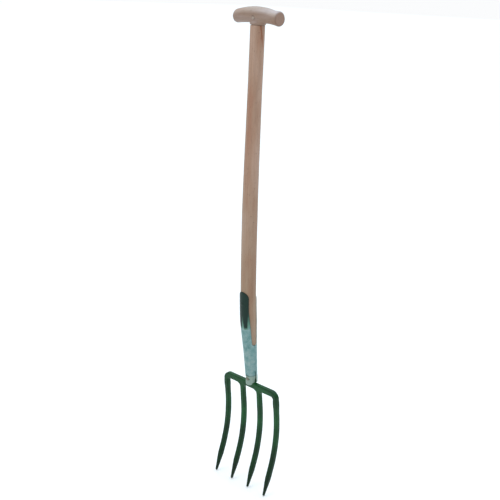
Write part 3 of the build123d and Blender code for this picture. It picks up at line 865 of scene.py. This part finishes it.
coat_finish = thin_coat()
front_shell = half_shell("front_socket_shell", FRONT_STRAP_TOP, -1)
rear_shell = half_shell("rear_socket_shell", REAR_STRAP_TOP, 1)
for piece, node_name in ((front_shell, "front_shell"), (rear_shell, "rear_shell")):
    piece.data.materials.append(coat_finish)
    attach(piece, "root")
    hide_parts(node_name)


# ------------------------------------------------------------------------------- the weld seams
# A small rippled bead of weld closes each side seam, from the notch's foot down to the slit, and
# the blue-grey coat covers it.
WELD_TOP = NOTCH_FOOT + 1.5
WELD_FOOT = SLIT_TOP + 1.0
WELD_RADIUS = 0.9


def ripple_tree():
    """A bead along a line: one flattened ripple of weld after another, each set on the last."""
    tree, given = new_tree("weld_ripples", {
        "Ripple length": ("NodeSocketFloat", 0.0012),
        "Ripple size": ("NodeSocketFloat", WELD_RADIUS * MM),
        "Seed": ("NodeSocketInt", 7), "Finish": ("NodeSocketMaterial", None)})
    line = add_node(tree, "GeometryNodeMeshToCurve", {"Mesh": given["Geometry"]})
    steps = add_node(tree, "GeometryNodeResampleCurve", {
        "Curve": line, "Length": given["Ripple length"]}, mode="LENGTH")
    ball = add_node(tree, "GeometryNodeMeshUVSphere", {
        "Segments": 16, "Rings": 10, "Radius": given["Ripple size"]})
    uneven = add_node(tree, "FunctionNodeRandomValue", {
        "Min": (0.85, 0.75, 0.85), "Max": (1.15, 0.95, 1.15), "Seed": given["Seed"]},
        data_type="FLOAT_VECTOR")
    beads = add_node(tree, "GeometryNodeInstanceOnPoints", {
        "Points": steps, "Instance": ball, "Scale": uneven})
    close_tree(tree, beads, given["Finish"])
    return tree


for side, side_name in ((-1, "left"), (1, "right")):
    seam_drops = [WELD_TOP + (WELD_FOOT - WELD_TOP) * i / 30 for i in range(31)]
    seam = [Vector((side * (wood_radius(drop) + SHEET - 0.55), centreline(drop)[0], -drop))
            for drop in seam_drops]
    bead = path_object(side_name + "_weld_seam", seam, [WELD_RADIUS] * len(seam))
    run_tree(bead, ripple_tree(), {"Ripple length": 0.0011, "Seed": 7 + side, "Finish": coat_finish})
    face_outwards(bead)
    keep_values(bead, "from_rim", [1.5] * len(bead.data.vertices))
    keep_values(bead, "below_crease", [-50.0] * len(bead.data.vertices))
    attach(bead, "root")


# ---------------------------------------------------------------------------------- the T grip
# Turned and sanded from one billet with its grain along the grip: crowned on top, nearly flat
# below, with round-edged end grain faces and a flared boss over the shaft's shoulder.
GRIP_AXIS = 16.6
GRIP_HALF_LENGTH = 69.2
BOSS_FOOT_ALONG = 18.3
BOSS_FOOT_ACROSS = 17.6
BOSS_HEIGHT = 9.0
LEFT_ROUNDING = 6.5
RIGHT_ROUNDING = 5.0
GRIP_SECTIONS = (
    # distance along the grip, half height, half width, rise above the grip's axis
    (-GRIP_HALF_LENGTH, 16.0, 16.8, 0.8),
    (-50.0, 16.6, 17.2, 3.6),
    (-30.0, 17.6, 17.5, 5.8),
    (0.0, 18.6, 17.8, 6.2),
    (30.0, 17.2, 17.3, 4.9),
    (50.0, 16.2, 16.8, 2.2),
    (GRIP_HALF_LENGTH, 17.4, 17.4, -0.2),
)


def grip_section(x):
    """Half height, half width and rise of the grip's oval at x, on one smooth curve."""
    x = min(max(x, -GRIP_HALF_LENGTH), GRIP_HALF_LENGTH)
    stations = [GRIP_SECTIONS[0], *GRIP_SECTIONS, GRIP_SECTIONS[-1]]
    start = 1
    while start < len(GRIP_SECTIONS) - 1 and x > stations[start + 1][0]:
        start += 1
    before, here, after, beyond = stations[start - 1:start + 3]
    span = after[0] - here[0]
    t = (x - here[0]) / span
    values = []
    for k in (1, 2, 3):
        slope_here = (after[k] - before[k]) / (after[0] - before[0]) * span
        slope_after = (beyond[k] - here[k]) / (beyond[0] - here[0]) * span
        values.append((2 * t ** 3 - 3 * t ** 2 + 1) * here[k] + (t ** 3 - 2 * t ** 2 + t) * slope_here
                      + (3 * t ** 2 - 2 * t ** 3) * after[k] + (t ** 3 - t ** 2) * slope_after)
    return values


def in_boss(x, y, height):
    """Whether a point is in the boss's flare: wider along the grip and narrower across it, upwards."""
    if height > BOSS_HEIGHT:
        return False
    rise = max(height, 0.0) / BOSS_HEIGHT
    half_along = BOSS_FOOT_ALONG + 2.0 * rise + 7.0 * rise ** 2
    half_across = BOSS_FOOT_ACROSS - 3.4 * rise ** 2
    return (x / half_along) ** 2 + (y / half_across) ** 2 <= 1.0


def grip_reach(x, turn, inset):
    """How far the grip's surface is from its middle line at x, in the direction of a turn."""
    half_high, half_wide, rise = grip_section(x)
    y_part, z_part = sin(turn), cos(turn)
    oval = 1 / sqrt((y_part / half_wide) ** 2 + (z_part / half_high) ** 2) - inset
    middle = GRIP_AXIS + rise
    if z_part > -0.3 or abs(x) > 30:
        return oval
    far = -middle / z_part
    for step in range(80):
        reach = far + (oval - far) * step / 80
        if in_boss(x, reach * y_part, middle + reach * z_part):
            return max(reach, oval)
    return oval


def grip_rings():
    """Rings along the grip, out over each rounded end and in across its face."""
    rings = []
    around = 96

    def put(x, inset, shrink=1.0):
        middle = GRIP_AXIS + grip_section(x)[2]
        ring = []
        for i in range(around):
            turn = 2 * pi * i / around
            reach = grip_reach(x, turn, inset) * shrink
            ring.append((x, reach * sin(turn), middle + reach * cos(turn)))
        rings.append(ring)

    def rounded_end(side, rounding):
        face = [(side * GRIP_HALF_LENGTH, rounding, 0.04 + 0.96 * i / 12) for i in range(12)]
        for i in range(11):
            turn = pi / 2 * i / 10
            x = GRIP_HALF_LENGTH - rounding * (1 - cos(turn))
            face.append((side * x, rounding * (1 - sin(turn)), 1.0))
        return face

    for x, inset, shrink in rounded_end(-1, LEFT_ROUNDING):
        put(x, inset, shrink)
    start, stop = LEFT_ROUNDING - GRIP_HALF_LENGTH, GRIP_HALF_LENGTH - RIGHT_ROUNDING
    for i in range(1, 126):
        put(start + (stop - start) * i / 126, 0.0)
    for x, inset, shrink in reversed(rounded_end(1, RIGHT_ROUNDING)):
        put(x, inset, shrink)
    return rings


grip = mesh_object("turned_t_grip", [skin(grip_rings())])
face_outwards(grip)
blend = grip.modifiers.new("sanded_over", "SMOOTH")
blend.factor = 0.5
blend.iterations = 9
bake_modifiers(grip)


def sanded(place, normal):
    """Hand sanding leaves the grip slightly uneven."""
    uneven = 0.35 * noise.noise(place / 26.0) + 0.10 * noise.noise(place / 9.0) - 0.22
    return (place + normal * uneven) * MM


move_vertices(grip, sanded)
face_outwards(grip)


def grip_grain(tree):
    """The grip's grain runs along X."""
    place = add_node(tree, "ShaderNodeTexCoord").outputs["Object"]
    parts = add_node(tree, "ShaderNodeSeparateXYZ", {"Vector": place}).outputs
    return add_node(tree, "ShaderNodeCombineXYZ", {
        "X": parts["Y"], "Y": parts["Z"], "Z": parts["X"]}).outputs[0]


grip_wood, grip_tree, grip_shader, grip_colour = bare_wood(
    "bare_sanded_beech", "#96827a", "#8e7666", "#846655", grip_grain)

# The end grain drinks more dirt than the sides: both end faces are redder and darker.
end_place = add_node(grip_tree, "ShaderNodeTexCoord").outputs["Object"]
end_x = add_node(grip_tree, "ShaderNodeSeparateXYZ", {"Vector": end_place}).outputs["X"]
end_x = add_node(grip_tree, "ShaderNodeMath", {0: end_x}, operation="ABSOLUTE")
end_face = add_node(grip_tree, "ShaderNodeMapRange", {
    "Value": end_x, "From Min": 67.0 * MM, "From Max": 68.8 * MM})
end_rings = add_node(grip_tree, "ShaderNodeTexWave", {
    "Vector": end_place, "Scale": 2 * pi / (20 * 2.4 * MM), "Distortion": 2.0, "Detail": 2.0},
    wave_type="RINGS", rings_direction="X")
end_tone = add_node(grip_tree, "ShaderNodeMix", {
    0: end_rings.outputs["Fac"], 6: linear("#83695a"), 7: linear("#9b7f70")}, data_type="RGBA")
ended = add_node(grip_tree, "ShaderNodeMix", {
    0: end_face, 6: grip_colour, 7: end_tone.outputs[2]}, data_type="RGBA")
# The rounded rim of each end holds a darker line.
ended_rim = add_node(grip_tree, "ShaderNodeMapRange", {
    "Value": end_x, "From Min": 65.5 * MM, "From Max": 68.0 * MM, "To Min": 1.0, "To Max": 0.82},
    interpolation_type="SMOOTHSTEP")
inside_rim = add_node(grip_tree, "ShaderNodeMapRange", {
    "Value": end_x, "From Min": 68.3 * MM, "From Max": 69.1 * MM, "To Max": 0.18})
rim_shade = add_node(grip_tree, "ShaderNodeMath", {0: ended_rim, 1: inside_rim}, operation="ADD")
ended = add_node(grip_tree, "ShaderNodeVectorMath", {
    0: ended.outputs[2], "Scale": rim_shade}, operation="SCALE")
# Light from above is painted onto the grip: where its surface faces up it is made paler and cooler.
facing = add_node(grip_tree, "ShaderNodeNewGeometry").outputs["Normal"]
upward = add_node(grip_tree, "ShaderNodeSeparateXYZ", {"Vector": facing}).outputs["Z"]
painted_top_light = add_node(grip_tree, "ShaderNodeMapRange", {
    "Value": upward, "From Min": 0.05, "From Max": 0.70, "To Max": 1.0}, interpolation_type="SMOOTHSTEP")
top_lit_colour = add_node(grip_tree, "ShaderNodeVectorMath", {
    0: ended, 1: (1.66, 2.0, 2.34)}, operation="MULTIPLY")
top_lit = add_node(grip_tree, "ShaderNodeMix", {0: painted_top_light, 6: ended, 7: top_lit_colour}, data_type="RGBA")
# Dirt has gathered in a grey ring round each end of the cross pin.
pin_centre = add_node(grip_tree, "ShaderNodeVectorMath", {
    0: end_place, 1: (0.0, 0.0, GRIP_AXIS * MM)}, operation="SUBTRACT")
pin_flat = add_node(grip_tree, "ShaderNodeVectorMath", {
    0: pin_centre, 1: (1.0, 0.0, 1.0)}, operation="MULTIPLY")
pin_away = add_node(grip_tree, "ShaderNodeVectorMath", {0: pin_flat}, operation="LENGTH")
pin_dirt = add_node(grip_tree, "ShaderNodeMapRange", {
    "Value": pin_away.outputs["Value"], "From Min": 4.4 * MM, "From Max": 5.6 * MM, "To Min": 0.62,
    "To Max": 1.0})
ringed = add_node(grip_tree, "ShaderNodeVectorMath", {
    0: top_lit.outputs[2], "Scale": pin_dirt}, operation="SCALE")
grip_tree.links.new(ringed.outputs[0], grip_shader.inputs["Base Color"])
grip.data.materials.append(grip_wood)
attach(grip, "root")
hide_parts("t_grip")


# -------------------------------------------------------------------------------- the grip's pin
# A beech pin through the grip and the tenon, planed off flush: only its two end grain faces show.
DOWEL_RADIUS = 4.0
pin_stations = ((-16.95, 2.6), (-16.9, 3.6), (-16.4, DOWEL_RADIUS),
                (16.4, DOWEL_RADIUS), (16.9, 3.6), (16.95, 2.6))
pin_wood = bare_wood("end_grain_beech_pin", "#a4958a", "#98877a", "#8a7767", grip_grain)[0]
pin_points = [Vector((0, y, GRIP_AXIS)) for y, radius in pin_stations]
pin = path_object("grip_pin", pin_points, [radius for y, radius in pin_stations])
run_tree(pin, turned_bar_tree(), {"Sides": 40, "Unevenness": 0.0001, "Wave length": 0.004,
                                  "Finish": pin_wood})
face_outwards(pin, radians(40))
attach(pin, "root")
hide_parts("grip_dowel")


# -------------------------------------------------------------------------- rivets and their burrs
# Three steel rivets cross the socket from front to rear, with low domed heads in front. The two upper
# ones are closed over burrs behind and took the coat of the shell round them; the lowest is worn coat
# over browned steel.
RIVET_RADIUS = 2.5
HEAD_RADIUS = 5.0
HEAD_DOME = 1.5
BURR_THICKNESS = 1.5
UPPER_RIVET_DROP = 655.0
LOWER_RIVET_DROP = 749.0
TONGUE_RIVET_DROP = 857.5


def along_rivet(drop, depth):
    """A point on a rivet's line, square to the socket's own middle line."""
    rear, angle = centreline(drop)
    return Vector((0, rear + depth * cos(angle), -drop + depth * sin(angle)))


def dome(seat, outwards, radius, height):
    """Stations (depth, radius) of a domed head that stands on a seat."""
    return [(seat + outwards * height * sin(pi / 2 * i / 8), max(radius * cos(pi / 2 * i / 8), 0.3))
            for i in range(9)]


def plain_coat(made):
    """Far from any rim and above the crease: the coat without its dark lines."""
    keep_values(made, "from_rim", [5.0] * len(made.data.vertices))
    keep_values(made, "below_crease", [-50.0] * len(made.data.vertices))


def riveted(name, drop, finish, rear_radius, rear_height, nodes):
    """One rivet, turned along its line by the turned bar tree."""
    reach = wood_radius(drop) + SHEET
    front = list(reversed(dome(-reach + 0.5, -1, HEAD_RADIUS, HEAD_DOME)))
    rear_seat = reach + (BURR_THICKNESS - 0.1 if rear_height < HEAD_DOME else -0.5)
    shank = [(-reach + 0.6, RIVET_RADIUS), (rear_seat - 0.1, RIVET_RADIUS)]
    stations = front + shank + dome(rear_seat, 1, rear_radius, rear_height)
    points = [along_rivet(drop, depth) for depth, radius in stations]
    made = path_object(name, points, [radius for depth, radius in stations])
    run_tree(made, turned_bar_tree(), {"Sides": 40, "Unevenness": 0.0004, "Wave length": 0.006,
                                       "Finish": finish})
    face_outwards(made, radians(35))
    plain_coat(made)
    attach(made, "root")
    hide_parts(*nodes)


def worn_steel():
    """Steel under worn coat on the lowest rivet: a dull brown-grey spot with rust in its pits."""
    material, tree = new_material("worn_coat_over_browned_steel")
    where = add_node(tree, "ShaderNodeTexCoord").outputs["Object"]
    pits = add_node(tree, "ShaderNodeTexNoise", {"Vector": where, "Scale": 1 / (1.6 * MM), "Detail": 4.0})
    tone = add_node(tree, "ShaderNodeValToRGB", {"Fac": pits})
    set_stops(tone, (0.35, "#5b5140"), (0.60, "#7c8172"))
    rough = add_node(tree, "ShaderNodeMapRange", {"Value": pits, "To Min": 0.62, "To Max": 0.38})
    relief = add_node(tree, "ShaderNodeBump", {"Height": pits, "Strength": 0.5, "Distance": 0.2 * MM})
    shader = add_node(tree, "ShaderNodeBsdfPrincipled", {
        "Base Color": tone, "Metallic": 0.5, "Roughness": rough, "Normal": relief})
    add_node(tree, "ShaderNodeOutputMaterial", {"Surface": shader})
    return material


riveted("upper_strap_rivet", UPPER_RIVET_DROP, coat_finish, 3.6, 1.0, ["upper_rivet"])
riveted("lower_strap_rivet", LOWER_RIVET_DROP, coat_finish, 3.6, 1.0, ["lower_rivet"])
riveted("tongue_rivet", TONGUE_RIVET_DROP, worn_steel(), HEAD_RADIUS, HEAD_DOME, ["foot_rivet"])

burr_points = []
burr_radii = []
for burr_drop in (UPPER_RIVET_DROP, LOWER_RIVET_DROP):
    burr_seat = wood_radius(burr_drop) + SHEET
    for depth, radius in ((-0.3, HEAD_RADIUS - 0.3), (0.0, HEAD_RADIUS),
                          (BURR_THICKNESS - 0.3, HEAD_RADIUS), (BURR_THICKNESS, HEAD_RADIUS - 0.4)):
        burr_points.append(along_rivet(burr_drop, burr_seat + depth))
        burr_radii.append(radius)
burrs = path_object("rivet_burr_pair", burr_points, burr_radii)
# The line between the two burrs is taken out, so that each is a bar of its own.
keep = bmesh.new()
keep.from_mesh(burrs.data)
keep.edges.ensure_lookup_table()
bmesh.ops.delete(keep, geom=[keep.edges[3]], context="EDGES")
keep.to_mesh(burrs.data)
keep.free()
run_tree(burrs, turned_bar_tree(), {"Sides": 40, "Unevenness": 0.0002, "Wave length": 0.006,
                                    "Finish": coat_finish})
face_outwards(burrs, radians(35))
plain_coat(burrs)
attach(burrs, "root")
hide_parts("rivet_burrs")
